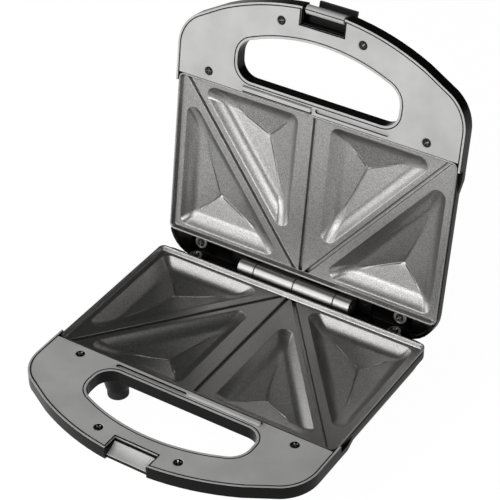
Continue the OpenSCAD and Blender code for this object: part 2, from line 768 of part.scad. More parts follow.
// Raised edge of the lid round the hinge; it stops the open lid against the base
module back_lip() {
    slab(2 * rim_top, seat_z + 0.5) intersection() {
        difference() {
            round_rect(half_w, land_front, -lid_back, lid_corner_r);
            round_rect(half_w - wall, land_front, wall - lid_back, lid_corner_r - wall);
        }
        translate([-plate_w, -rim_rear + 0.2]) square([2 * plate_w, 40]);
    }
}
module lid_handle_trim() { color(trim_grey) on_lid() trim(-1); }
module lid_trim_screws() {
    color(black_gloss) on_lid() for (p = trim_screws) both_sides() spot(p)
        flat_screw(rim_top, trim_screw_len);
}
module lid_plate() { color(plate_grey) on_lid() plate(); }
module lid_plate_screws() {
    color(black_gloss) on_lid() both_sides() spot([lug_x, lug_y])
        pan_screw(lug_z, bay_screw_end - lug_z - 1);
}
module lid_heating_element() { color(bright_steel) on_lid() element(); }
module lid_heat_shield() { color(bright_steel) on_lid() heat_shield(); }
module lid_shield_screws() { color(bright_steel) on_lid() shield_screws(); }
module lens(side) {
    on_lid() spot([side * lamp_x, lamp_y]) {
        post(bowl_deep - wall, bowl_deep, lamp_r);
        down(bowl_deep) rotate([180, 0, 0]) rotate_extrude($fn = fn_round) intersection() {
            translate([0, dome_h - dome_r]) circle(dome_r, $fn = fn_fine);
            square([lamp_r, 2 * dome_h]);
        }
    }
}
module power_lamp_lens() { color([0.75, 0.08, 0.06]) lens(-1); }
module ready_lamp_lens() { color([0.10, 0.55, 0.15]) lens(1); }
module lamp_holder() {
    top = bowl_deep - wall;
    color(trim_grey) on_lid() spot([0, lamp_y])
        slab(top - 6, top) square([2 * lamp_x + 16, 14], center = true);
}
module hinge_lid_leaf() {
    color(bright_steel) on_lid() leaf([[-knuckle_x, 0], [knuckle_x, hinge_x]], -5.5);
}
module hinge_lid_screws() {
    color(bright_steel) on_lid() both_sides() spot([leaf_screw_x, lug_y])
        flat_screw(band_h - leaf_t, bay_screw_end - band_h);
}
module latch_pin() {
    color(bright_steel) on_lid() along_x(-catch_pin_x, catch_pin_x)
        translate([-catch_y, -catch_pin_h]) circle(catch_pin_r, $fn = fn_round);
}
module latch_clip() { color(black_gloss) on_lid() clip(); }

base_housing();
base_handle_trim();
base_trim_screws();
base_plate();
base_plate_screws();
base_heating_element();
base_heat_shield();
base_shield_screws();
thermostat();
thermal_fuse();
terminal_block();
cord_gland();
foot_rear_left();
foot_rear_right();
foot_front_left();
foot_front_right();
hinge_base_leaf();
hinge_base_screws();
hinge_pin();
lid_housing();
lid_handle_trim();
lid_trim_screws();
lid_plate();
lid_plate_screws();
lid_heating_element();
lid_heat_shield();
lid_shield_screws();
power_lamp_lens();
ready_lamp_lens();
lamp_holder();
hinge_lid_leaf();
hinge_lid_screws();
latch_pin();
latch_clip();
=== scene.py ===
"""Dresses the packed sandwich toaster: cast plates, moulded halves, hinge, catch and studio."""

import json
import logging
import math
from collections.abc import Callable, Sequence
from dataclasses import dataclass, field
from enum import Enum
from functools import cache

import bmesh
import bpy
from mathutils import Matrix, Vector


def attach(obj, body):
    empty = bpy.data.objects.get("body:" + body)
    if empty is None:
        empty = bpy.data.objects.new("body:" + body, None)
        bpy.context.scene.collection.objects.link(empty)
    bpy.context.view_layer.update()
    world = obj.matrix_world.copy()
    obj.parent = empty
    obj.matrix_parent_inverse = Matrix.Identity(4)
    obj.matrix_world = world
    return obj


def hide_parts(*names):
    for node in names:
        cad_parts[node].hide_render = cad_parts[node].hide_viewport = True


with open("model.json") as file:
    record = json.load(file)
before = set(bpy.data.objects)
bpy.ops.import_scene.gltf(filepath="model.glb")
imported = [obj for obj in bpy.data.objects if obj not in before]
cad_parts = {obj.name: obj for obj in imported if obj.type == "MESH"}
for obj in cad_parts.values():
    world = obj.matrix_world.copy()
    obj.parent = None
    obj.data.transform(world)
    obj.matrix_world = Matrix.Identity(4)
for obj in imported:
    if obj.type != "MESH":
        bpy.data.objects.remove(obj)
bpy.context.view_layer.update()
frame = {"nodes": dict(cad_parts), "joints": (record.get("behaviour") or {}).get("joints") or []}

LOG = logging.getLogger("toaster")
MM = 0.001
Point = tuple[float, float, float]
Flat = tuple[float, float]
Mesh = bpy.types.Mesh
Piece = bpy.types.Object
Material = bpy.types.Material
Socket = bpy.types.NodeSocket
Shape = bmesh.types.BMesh
Ring = list[bmesh.types.BMVert]
FaceTest = Callable[[Vector, Vector], bool]


class Body(Enum):
    """Bodies of the frame; the catch is drawn in the lid's half."""

    BASE = "base"
    LID = "lid"
    LATCH = "latch"


HALVES = (Body.BASE, Body.LID)


# ---- finishes
class Nodes:
    """A node tree, with a short way to add nodes."""

    def __init__(self, tree: bpy.types.NodeTree) -> None:
        """Empties a tree and takes it over."""
        self.nodes, self.links = tree.nodes, tree.links
        self.nodes.clear()

    def add(self, kind: str, output: str, feeds: dict[str | int, Socket | float | Point],
            operation: str = "") -> Socket:
        """Adds a node.

        Args:
            kind: its type.
            output: the output that is wanted.
            feeds: a value or a socket for each input, by name or place.
            operation: what a maths node does.

        Returns:
            The wanted output.
        """
        node = self.nodes.new("ShaderNode" + kind)
        if operation:
            node.operation = operation
        for name, feed in feeds.items():
            if isinstance(feed, Socket):
                self.links.new(feed, node.inputs[name])
            else:
                node.inputs[name].default_value = feed
        return node.outputs[output]


class NodeTree(Nodes):
    """A material's node tree with short ways to add and join nodes."""

    def __init__(self, name: str) -> None:
        """Starts an empty material.

        Args:
            name: the material's name.
        """
        self.material = bpy.data.materials.new(name)
        self.material.use_nodes = True
        super().__init__(self.material.node_tree)
        self.output = self.nodes.new("ShaderNodeOutputMaterial")
        self.shader = self.nodes.new("ShaderNodeBsdfPrincipled")
        self.links.new(self.shader.outputs["BSDF"], self.output.inputs["Surface"])
        self.coordinate = self.nodes.new("ShaderNodeTexCoord").outputs["Object"]

    def noise(self, scale: float, detail: float, stretch: Point = (1, 1, 1)) -> Socket:
        """A noise texture in object space: cells per metre, octaves and scale along each axis."""
        point = self.add("Mapping", "Vector", {"Vector": self.coordinate, "Scale": stretch})
        return self.add("TexNoise", "Fac", {"Vector": point, "Scale": scale, "Detail": detail})

    def paint(self, factor: Socket, stops: Sequence[tuple[float, Point]]) -> None:
        """Colours the shader by a ramp.

        Args:
            factor: what drives it.
            stops: two pairs of position and colour.
        """
        ramp = self.nodes.new("ShaderNodeValToRGB")
        for element, (position, colour) in zip(ramp.color_ramp.elements, stops):
            element.position = position
            element.color = (*colour, 1)
        self.links.new(factor, ramp.inputs["Fac"])
        self.join(ramp.outputs["Color"], "Base Color")

    def polish(self, factor: Socket, low: float, high: float) -> None:
        """Spreads the shader's roughness from low to high."""
        feeds = {"Value": factor, "To Min": low, "To Max": high}
        self.join(self.add("MapRange", "Result", feeds), "Roughness")

    def bump(self, height: Socket, distance: float, strength: float, before: Socket | None = None) -> Socket:
        """A bump of a depth in metres and a strength, over the bump before it if there is one."""
        feeds = {"Height": height, "Distance": distance, "Strength": strength}
        return self.add("Bump", "Normal", feeds if before is None else feeds | {"Normal": before})

    def set(self, **values: float | Point) -> None:
        """Sets sockets of the shader; an underscore in a name stands for a space."""
        for name, value in values.items():
            self.shader.inputs[name.replace("_", " ")].default_value = value

    def join(self, socket: Socket, name: str) -> None:
        """Links a socket to the shader's input of the given name."""
        self.links.new(socket, self.shader.inputs[name])


@dataclass(frozen=True)
class Moulding:
    """Moulded plastic: a plain colour with faint ripple, haze and rub marks."""

    name: str
    colour: Point
    roughness: float
    coat: float = 0.0
    grain: float = 0.0
    specular: float = 0.5
    haze_cells: float = 38
    haze_dark: float = 0.82
    rub_cells: float = 90
    ripple_cells: float = 60
    ripple_deep: float = 0.00012
    grain_cells: float = 2600
    grain_deep: float = 0.00002

    @cache
    def make(self) -> Material:
        """Builds the material, once."""
        tree = NodeTree(self.name)
        tree.set(Base_Color=(*self.colour, 1), IOR=1.5, Coat_Weight=self.coat, Coat_Roughness=0.06,
                 Specular_IOR_Level=self.specular)
        darker = tuple(self.haze_dark * c for c in self.colour)
        tree.paint(tree.noise(self.haze_cells, 4), [(0.3, darker), (0.7, self.colour)])
        tree.polish(tree.noise(self.rub_cells, 5), 0.8 * self.roughness, 1.25 * self.roughness)
        normal = tree.bump(tree.noise(self.ripple_cells, 2), self.ripple_deep, 0.25)
        if self.grain:
            normal = tree.bump(tree.noise(self.grain_cells, 2), self.grain_deep, self.grain, normal)
        tree.join(normal, "Normal")
        return tree.material


@dataclass(frozen=True)
class Coating:
    """Non-stick coating: fine light specks over dark grey, with a soft pebbled sheen."""

    name: str
    dark: Point
    light: Point
    roughness: float
    speck_cells: float = 2600
    sheen_cells: float = 900
    pebble_cells: float = 2400
    pebble_deep: float = 0.00002
    wave_cells: float = 160
    wave_deep: float = 0.00004

    @cache
    def make(self) -> Material:
        """Builds the material, once."""
        tree = NodeTree(self.name)
        tree.set(Metallic=1.0, IOR=1.5)
        tree.paint(tree.noise(self.speck_cells, 2), [(0.42, self.dark), (0.62, self.light)])
        tree.polish(tree.noise(self.sheen_cells, 3), self.roughness - 0.05, self.roughness + 0.06)
        normal = tree.bump(tree.noise(self.pebble_cells, 2), self.pebble_deep, 0.22)
        tree.join(tree.bump(tree.noise(self.wave_cells, 2), self.wave_deep, 0.1, normal), "Normal")
        return tree.material


@dataclass(frozen=True)
class Metal:
    """Plated or blackened metal with fine streaks along one axis."""

    name: str
    colour: Point
    roughness: float
    stretch: Point = (1, 1, 1)
    streak_cells: float = 900
    streak_dark: float = 0.75
    streak_deep: float = 0.00002

    @cache
    def make(self) -> Material:
        """Builds the material, once."""
        tree = NodeTree(self.name)
        tree.set(Metallic=1.0)
        streaks = tree.noise(self.streak_cells, 4, self.stretch)
        darker = tuple(self.streak_dark * c for c in self.colour)
        tree.paint(streaks, [(0.3, darker), (0.7, self.colour)])
        tree.polish(streaks, self.roughness * 0.8, self.roughness * 1.3)
        tree.join(tree.bump(streaks, self.streak_deep, 0.2), "Normal")
        return tree.material


Finish = Moulding | Coating | Metal


@dataclass(frozen=True)
class Finishes:
    """Every finish of the toaster."""

    housing: Finish = Moulding("gloss_black_moulding", (0.002, 0.002, 0.002), 0.2, specular=0.16)
    trim: Finish = Moulding("satin_grey_trim", (0.62, 0.62, 0.615), 0.36, grain=0.1)
    plate: Finish = Coating("speckled_coating", (0.22, 0.217, 0.213), (0.55, 0.545, 0.54), 0.32)
    steel: Finish = Metal("plated_steel", (0.48, 0.475, 0.47), 0.34, (0.05, 1, 1))
    screw: Finish = Metal("blackened_steel", (0.03, 0.03, 0.03), 0.36)
    tube: Finish = Metal("tube_sheath", (0.42, 0.38, 0.34), 0.45)
    rubber: Finish = Moulding("foot_rubber", (0.025, 0.025, 0.025), 0.7, grain=0.4)
    inner: Finish = Moulding("pale_inner_plastic", (0.70, 0.67, 0.60), 0.5)
    red: Finish = Moulding("red_lens", (0.55, 0.02, 0.02), 0.15, coat=0.6)
    green: Finish = Moulding("green_lens", (0.03, 0.35, 0.07), 0.15, coat=0.6)
    catch: Finish = Moulding("catch_moulding", (0.03, 0.03, 0.03), 0.3, coat=0.2)


# ---- placing
def stand(name: str, data: bpy.types.ID) -> Piece:
    """Makes an object and links it into the scene."""
    piece = bpy.data.objects.new(name, data)
    bpy.context.scene.collection.objects.link(piece)
    return piece


@dataclass
class Workshop:
    """What every sub-assembly needs: the pose at rest, the finishes and ways to stand pieces.

    A half's own frame has the hinge axis on X, its parting plane at z = 0, its handle
    towards -Y and its housing below z = 0, in millimetres.
    """

    hinge: Vector
    lid_open: float
    finishes: Finishes = Finishes()
    weld: float = 0.003
    digits: int = 3
    flat: float = 0.4

    def matrix(self, body: Body) -> Matrix:
        """The matrix from the millimetres of a body's half to metres in the frame.

        Args:
            body: which body.

        Returns:
            The matrix.
        """
        place = Matrix.Translation(self.hinge)
        if body is not Body.BASE:
            swing = Matrix.Rotation(-math.radians(self.lid_open), 4, "X")
            place = place @ swing @ Matrix.Diagonal((1, 1, -1, 1))
        return place @ Matrix.Diagonal((MM, MM, MM, 1))

    def add(self, mesh: Mesh, name: str, body: Body, finish: Finish,
            slot: str, nodes: Sequence[str] = ()) -> Piece:
        """Links a mesh as a piece, dresses it and rides it on its body.

        Args:
            mesh: the finished mesh, in the frame.
            name: the piece's name.
            body: the body that carries it.
            finish: its finish.
            slot: the record's material slot; not used.
            nodes: the nodes it stands for.

        Returns:
            The new object.
        """
        piece = stand(name, mesh)
        mesh.materials.clear()
        mesh.materials.append(finish.make())
        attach(piece, body.value)
        if nodes:
            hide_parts(*nodes)
        LOG.info("built %s on %s", name, body.value)
        return piece

    def inlay(self, shape: Shape, name: str, body: Body) -> None:
        """Stands a small dark part on a body."""
        mesh = finished(shape, name, self.matrix(body), smooth=False)
        self.add(mesh, name, body, self.finishes.housing, "housing")

    def dress(self, finish: Finish, *nodes: str) -> None:
        """Gives nodes that keep their own shape their finish.

        Args:
            finish: the finish.
            *nodes: the nodes' names.
        """
        for node in nodes:
            piece = frame["nodes"][node]
            piece.data.materials.clear()
            piece.data.materials.append(finish.make())
            LOG.info("dressed %s", node)

    def second_finish(self, piece: Piece, body: Body, finish: Finish, chosen: FaceTest) -> None:
        """Gives some faces of a piece another finish.

        Args:
            piece: the object.
            body: the body that carries it.
            finish: the other finish.
            chosen: says from a face's centre and normal, in the half's frame, whether it takes it.
        """
        back = self.matrix(body).inverted()
        turn = back.to_3x3()
        piece.data.materials.append(finish.make())
        number = len(piece.data.materials) - 1
        for face in piece.data.polygons:
            if chosen(back @ face.center, (turn @ face.normal).normalized()):
                face.material_index = number

    def softened(self, node: str, name: str, body: Body, finish: Finish, slot: str,
                 radius: float, least: float = 28.0, segments: int = 3) -> Piece:
        """Stands a copy with rounded edges in a node's place.

        Args:
            node: the node it stands for.
            name: the new piece's name.
            body: the body that carries it.
            finish: its finish.
            slot: the record's material slot.
            radius: radius of the rounded edges, in millimetres.
            least: least angle of an edge that is rounded, in degrees.
            segments: steps across each rounded edge.

        Returns:
            The new object.
        """
        place = self.matrix(body)
        mesh = frame["nodes"][node].data.copy()
        mesh.transform(place.inverted())
        shape = bmesh.new()
        shape.from_mesh(mesh)
        bmesh.ops.remove_doubles(shape, verts=shape.verts, dist=self.weld)
        for vertex in shape.verts:
            vertex.co = Vector(round(value, self.digits) for value in vertex.co)
        bmesh.ops.dissolve_limit(shape, angle_limit=math.radians(self.flat), verts=shape.verts,
                                 edges=shape.edges, use_dissolve_boundaries=False)
        bmesh.ops.triangulate(shape, faces=[face for face in shape.faces if len(face.verts) > 4])
        weight = shape.edges.layers.float.new("bevel_weight_edge")
        for edge in shape.edges:
            edge.smooth = True
            if not edge.is_manifold or edge.calc_face_angle() > math.radians(least):
                edge[weight] = 1.0
        shape.to_mesh(mesh)
        shape.free()
        draft = stand("draft", mesh)
        bevel = draft.modifiers.new("rounded edges", "BEVEL")
        bevel.width = radius
        bevel.segments = segments
        bevel.limit_method = "WEIGHT"
        bevel.use_clamp_overlap = False
        bevel.miter_outer = "MITER_ARC"
        evaluated = draft.evaluated_get(bpy.context.evaluated_depsgraph_get())
        done = bpy.data.meshes.new_from_object(evaluated)
        bpy.data.objects.remove(draft)
        shape = bmesh.new()
        shape.from_mesh(done)
        bmesh.ops.triangulate(shape, faces=[face for face in shape.faces if len(face.verts) > 4])
        shape.transform(place)
        if shape.calc_volume(signed=True) < 0:
            bmesh.ops.reverse_faces(shape, faces=shape.faces)
        for face in shape.faces:
            face.smooth = True
        shape.to_mesh(done)
        shape.free()
        piece = self.add(done, name, body, finish, slot, [node])
        shade_by_angle(piece, least)
        return piece


def shade_by_angle(piece: Piece, degrees: float, margin: float = 12.0, weight: int = 60) -> None:
    """Smooths a piece's shading, apart from its sharp edges.

    Args:
        piece: the object.
        degrees: an angle between two faces that is still smoothed.
        margin: how much sharper than that a crisp edge is.
        weight: how much the large faces count.
    """
    weighted = piece.modifiers.new("even shading", "WEIGHTED_NORMAL")
    weighted.keep_sharp = True
    weighted.weight = weight
    piece.data.set_sharp_from_angle(angle=math.radians(degrees + margin))


# ---- rings
def arc_points(centre: Flat, radius: float, start: float, turn: float, steps: int) -> list[Flat]:
    """Points along an arc, both ends included, from the start angle over the turn, in degrees."""
    angles = [math.radians(start + turn * i / steps) for i in range(steps + 1)]
    return [(centre[0] + radius * math.cos(a), centre[1] + radius * math.sin(a)) for a in angles]


def circle(radius: float, steps: int) -> list[Flat]:
    """Points round a circle about the origin."""
    return arc_points((0, 0), radius, 0, 360, steps)[:-1]


def rounded_rectangle(low: Flat, high: Flat, radius: float, steps: int = 8) -> list[Flat]:
    """Counter-clockwise outline, with round corners, between a lowest and a highest corner."""
    centres = [(high[0] - radius, high[1] - radius), (low[0] + radius, high[1] - radius),
               (low[0] + radius, low[1] + radius), (high[0] - radius, low[1] + radius)]
    return [p for k, c in enumerate(centres) for p in arc_points(c, radius, 90 * k, 90, steps)]


def bridge(shape: Shape, rings: Sequence[Ring], closed: bool = True) -> None:
    """Joins rings of equal length with faces.

    Args:
        shape: the mesh that is added to.
        rings: the rings, in order.
        closed: whether each ring goes all the way round.
    """
    for upper, lower in zip(rings, rings[1:]):
        count = len(upper)
        for i in range(count if closed else count - 1):
            j = (i + 1) % count
            shape.faces.new([upper[i], upper[j], lower[j], lower[i]])


def ring_of(shape: Shape, outline: Sequence[Flat], height: float) -> Ring:
    """Adds an outline's points at one height and returns them."""
    return [shape.verts.new((x, y, height)) for x, y in outline]


def pour(shape: Shape, part: Shape) -> None:
    """Adds a part to a shape.

    Args:
        shape: the mesh that is added to.
        part: what is added, which is freed.
    """
    holder = bpy.data.meshes.new("holder")
    part.to_mesh(holder)
    part.free()
    shape.from_mesh(holder)
    bpy.data.meshes.remove(holder)


def fill_between(shape: Shape, outer: Ring, inner: Ring) -> None:
    """Fills the flat face between two loops.

    Args:
        shape: the mesh that is added to.
        outer: one loop.
        inner: the other loop.
    """
    edges = []
    for loop in (outer, inner):
        for i, vertex in enumerate(loop):
            pair = (vertex, loop[(i + 1) % len(loop)])
            edges.append(shape.edges.get(pair) or shape.edges.new(pair))
    bmesh.ops.triangle_fill(shape, use_beauty=True, use_dissolve=False, edges=edges)


def bar(profile: Sequence[Flat], reach: float) -> Shape:
    """A solid bar along X.

    Args:
        profile: its outline as (y, z).
        reach: half its length.

    Returns:
        The bar.
    """
    shape = bmesh.new()
    rings = [[shape.verts.new((x, y, z)) for y, z in profile] for x in (-reach, reach)]
    bridge(shape, rings)
    for ring in rings:
        shape.faces.new(ring)
    return shape


def finished(shape: Shape, name: str, matrix: Matrix, smooth: bool = True) -> Mesh:
    """Turns a shape into a mesh at its place in the frame.

    Args:
        shape: the shape, which is freed.
        name: the mesh's name.
        matrix: from the shape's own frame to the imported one.
        smooth: whether faces shade smoothly.

    Returns:
        The mesh.
    """
    bmesh.ops.transform(shape, matrix=matrix, verts=shape.verts)
    bmesh.ops.recalc_face_normals(shape, faces=shape.faces)
    for face in shape.faces:
        face.smooth = smooth
    mesh = bpy.data.meshes.new(name)
    shape.to_mesh(mesh)
    shape.free()
    return mesh


# ---- plates
@dataclass(frozen=True)
class PocketSide:
    """One straight side of a pocket: the angle of its outward normal and its distance."""

    angle: float
    distance: float


def meeting(first: PocketSide, second: PocketSide, inset: float) -> Flat:
    """Where two sides meet once both have moved inwards.

    Args:
        first: one side.
        second: the next side.
        inset: how far both moved, in millimetres.

    Returns:
        The corner.
    """
    a, b = math.radians(first.angle), math.radians(second.angle)
    p, q = first.distance - inset, second.distance - inset
    s = math.sin(b - a)
    return ((p * math.sin(b) - q * math.sin(a)) / s, (q * math.cos(a) - p * math.cos(b)) / s)


@dataclass(frozen=True)
class Pocket:
    """Triangular sandwich pocket with rolled edges and three faces that fall to an apex."""

    sides: tuple[PocketSide, PocketSide, PocketSide]
    deep: float = 9.5
    floor_fall: float = 2.4
    wall_run: float = 10.5
    lip: float = 0.7
    corner: float = 6.0
    corner_steps: int = 12
    inner_corner: float = 2.2
    crease: float = 1.0
    lip_share: float = 0.06
    wall_power: float = 2.3
    wall_steps: int = 16
    lip_power: float = 1.4
    floor_rings: tuple[Point, ...] = ((0.08, 1.8, 0.1), (0.2, 1.3, 0.3), (0.32, 1.0, 0.5), (0.5, 0.8, 0.75),
                                      (0.7, 0.8, 0.9), (0.88, 0.9, 1.0))

    def inradius(self) -> float:
        """How far the sides are from the apex."""
        a = [math.radians(side.angle) for side in self.sides]
        w = [math.sin(a[2] - a[1]), math.sin(a[0] - a[2]), math.sin(a[1] - a[0])]
        return sum(k * side.distance for k, side in zip(w, self.sides)) / sum(w)

    def outline(self, inset: float, radius: float) -> list[Flat]:
        """The pocket's outline, moved inwards.

        Args:
            inset: how far inwards, in millimetres.
            radius: radius of its corners.

        Returns:
            The outline, counter-clockwise.
        """
        points: list[Flat] = []
        for here, after in zip(self.sides, self.sides[1:] + self.sides[:1]):
            centre = meeting(here, after, inset + radius)
            turn = (after.angle - here.angle) % 360
            points += arc_points(centre, radius, here.angle, turn, self.corner_steps)
        return points

    def build(self, shape: Shape, land: float) -> Ring:
        """Adds the pocket's surface.

        Args:
            shape: the mesh that is added to.
            land: the land's z.

        Returns:
            The vertices along the pocket's edge.
        """
        reach = self.inradius()
        wall_deep = self.deep - self.floor_fall
        slope = self.floor_fall / (reach - self.wall_run)
        curved = wall_deep - slope * (self.wall_run + self.lip)
        tighter = (self.corner - self.inner_corner) / self.wall_run
        rings = []
        for i in range(self.wall_steps + 1):
            share = (i / self.wall_steps) ** self.lip_power
            s = -self.lip + (self.wall_run + self.lip) * share
            eased = (1 + self.lip_share) * share * share / (share + self.lip_share)
            depth = slope * (s + self.lip) + curved * (1 - (1 - eased) ** self.wall_power)
            radius = self.corner - (s if s < 0 else tighter * s)
            rings.append(ring_of(shape, self.outline(s, radius), land - depth))
        for share, radius, cut in self.floor_rings:
            outline = self.outline(self.wall_run + share * (reach - self.wall_run), radius)
            ring = ring_of(shape, outline, land - wall_deep - self.floor_fall * share)
            for i, vertex in enumerate(ring):
                turn = (i % (self.corner_steps + 1)) / self.corner_steps
                vertex.co.z -= cut * self.crease * math.sin(math.pi * turn)
            rings.append(ring)
        bridge(shape, rings)
        centre = meeting(self.sides[0], self.sides[1], reach)
        apex = shape.verts.new((*centre, land - self.deep - self.crease))
        last = rings[-1]
        for i, vertex in enumerate(last):
            shape.faces.new([vertex, last[(i + 1) % len(last)], apex])
        return rings[0]


@dataclass
class CastPlate:
    """Cast cooking plate: raised rim, land, grooves, four pockets and two screw lugs."""

    shop: Workshop
    half: Body
    land_hw: float = 108.0
    land_rear: float = 11.0
    land_deep: float = 120.5
    land_drop: float = 3.6
    side_land: float = 4.5
    end_land: float = 3.1
    centre_land: float = 13.5
    slant_x: float = 4.5
    groove_w: float = 2.7
    groove_deep: float = 3.0
    groove_lip: float = 0.35
    inner_gap: float = 5.5
    outer_gap: float = 7.8
    rim_top: float = 0.3
    seat: float = 2.6
    rim_run: float = 1.2
    rim_w: float = 1.2
    rim_corner: float = 1.8
    lug_x: float = 83.0
    lug_y: float = 5.2
    lug_r: float = 5.0
    lug_hole: float = 2.0
    lug_drop: float = 1.5
    lug_thick: float = 2.0
    lug_roll: float = 0.35
    lug_steps: int = 40
    crisp: float = 26.0
    shape: Shape = field(default_factory=bmesh.new)

    @property
    def land_front(self) -> float:
        """Distance from the hinge axis to the land's front edge."""
        return self.land_rear + self.land_deep

    @property
    def front_x(self) -> float:
        """Where a slanting groove meets the land's front edge."""
        return self.land_hw - self.side_land

    @property
    def slant(self) -> float:
        """Angle of the slanting grooves, in degrees."""
        return math.degrees(math.atan2(self.front_x - self.slant_x, self.land_deep))

    def pockets(self) -> tuple[Pocket, Pocket]:
        """The inner and the outer pocket of the right side."""
        a = math.radians(self.slant)
        line = self.slant_x * math.cos(a) - self.land_rear * math.sin(a)
        inner = Pocket((PocketSide(180, -self.centre_land),
                        PocketSide(270, self.land_front - self.end_land),
                        PocketSide(360 + self.slant, line - self.inner_gap)))
        outer = Pocket((PocketSide(0, self.front_x),
                        PocketSide(90, -self.land_rear - self.end_land),
                        PocketSide(180 + self.slant, -line - self.outer_gap)))
        return inner, outer

    def land(self, mirror: int) -> None:
        """Adds one side's land with its pockets.

        Args:
            mirror: 1 for the right side, -1 for the left.
        """
        side = self.groove_w / 2 + self.groove_lip
        across = side / math.cos(math.radians(self.slant))
        rear, front = -self.land_rear, -self.land_front
        inner_edge = [(side, rear), (side, front),
                      (self.front_x - across, front), (self.slant_x - across, rear)]
        outer_edge = [(self.slant_x + across, rear), (self.front_x + across, front),
                      (self.land_hw, front), (self.land_hw, rear)]
        for edge, pocket in zip((inner_edge, outer_edge), self.pockets()):
            part = bmesh.new()
            outer = ring_of(part, edge, -self.land_drop)
            hole = pocket.build(part, -self.land_drop)
            fill_between(part, outer, hole)
            bmesh.ops.scale(part, vec=(mirror, 1, 1), verts=part.verts)
            pour(self.shape, part)

    def groove(self, start: Flat, end: Flat) -> None:
        """Adds a groove with rolled lips.

        Args:
            start: its first point.
            end: its last point.
        """
        half, lip, deep = self.groove_w / 2, self.groove_lip, self.groove_deep
        half_profile = [(half + lip, 0), (half + 0.4 * lip, 0.06), (half, 0.3), (half - 0.05, 0.8),
                        (half - 0.15, deep - 0.3), (half - 0.45, deep - 0.05), (0, deep)]
        profile = half_profile + [(-x, z) for x, z in reversed(half_profile[:-1])]
        first, last = Vector(start), Vector(end)
        along = (last - first).normalized()
        across = Vector((-along.y, along.x))
        rings = []
        for point in (first, last):
            places = [(*(point + across * x), -self.land_drop - z) for x, z in profile]
            rings.append([self.shape.verts.new(place) for place in places])
        bridge(self.shape, rings, closed=False)

    def rim(self) -> None:
        """Adds the sloping wall, the rounded rim and its outer side."""
        run, top, land = self.rim_run, -self.rim_top, -self.land_drop
        end = run + self.rim_w
        profile = [(-0.5, land), (-0.15, land + 0.04), (0.1, land + 0.3), (0.3, land + 0.9),
                   (run - 0.25, top - 0.55), (run - 0.02, top - 0.16), (run + 0.25, top),
                   (end - 0.3, top), (end - 0.08, top - 0.09), (end, top - 0.35),
                   (end, -self.seat), (run, -self.seat), (run, land - 3)]
        rings = []
        for out, height in profile:
            low = (-self.land_hw - out, -self.land_front - out)
            high = (self.land_hw + out, -self.land_rear + out)
            outline = rounded_rectangle(low, high, self.rim_corner + max(out, 0))
            rings.append(ring_of(self.shape, outline, height))
        bridge(self.shape, rings)

    def lug(self, mirror: int) -> None:
        """Adds a screw lug: a flat ring with rolled edges.

        Args:
            mirror: 1 for the right side, -1 for the left.
        """
        r, hole, thick, roll = self.lug_r, self.lug_hole, self.lug_thick, self.lug_roll
        profile = [(hole, -thick), (hole, -roll), (hole + roll, 0), (r - roll, 0), (r, -roll),
                   (r, -thick), (hole, -thick)]
        ring = bmesh.new()
        bridge(ring, [ring_of(ring, circle(out, self.lug_steps), height) for out, height in profile])
        bmesh.ops.remove_doubles(ring, verts=ring.verts, dist=0.001)
        place = (mirror * self.lug_x, -self.lug_y, -self.lug_drop)
        bmesh.ops.translate(ring, vec=place, verts=ring.verts)
        pour(self.shape, ring)

    def build(self) -> None:
        """Builds the plate and stands it in its node's place."""
        for mirror in (1, -1):
            self.land(mirror)
        rear, front = -self.land_rear, -self.land_front
        self.groove((0, rear), (0, front))
        for mirror in (1, -1):
            self.groove((mirror * self.slant_x, rear), (mirror * self.front_x, front))
        self.rim()
        for mirror in (1, -1):
            self.lug(mirror)
        name, place = f"{self.half.value}_cooking_plate", self.shop.matrix(self.half)
        mesh = finished(self.shape, name, place)
        face_outwards(mesh, place.to_3x3() @ Vector((0, 0, 1)))
        piece = self.shop.add(mesh, name, self.half, self.shop.finishes.plate, "plate",
                              [f"{self.half.value}_plate"])
        shade_by_angle(piece, self.crisp)


def face_outwards(mesh: Mesh, upwards: Vector) -> None:
    """Turns each open sheet of a mesh so that it looks the given way.

    Args:
        mesh: the mesh.
        upwards: the way that open sheets look.
    """
    shape = bmesh.new()
    shape.from_mesh(mesh)
    waiting = set(shape.faces)
    while waiting:
        sheet = [waiting.pop()]
        for face in sheet:
            for after in {other for edge in face.edges for other in edge.link_faces} & waiting:
                waiting.discard(after)
                sheet.append(after)
        is_open = any(edge.is_boundary for face in sheet for edge in face.edges)
        if is_open and sum(face.calc_area() * face.normal.dot(upwards) for face in sheet) < 0:
            bmesh.ops.reverse_faces(shape, faces=sheet)
    shape.to_mesh(mesh)
    shape.free()


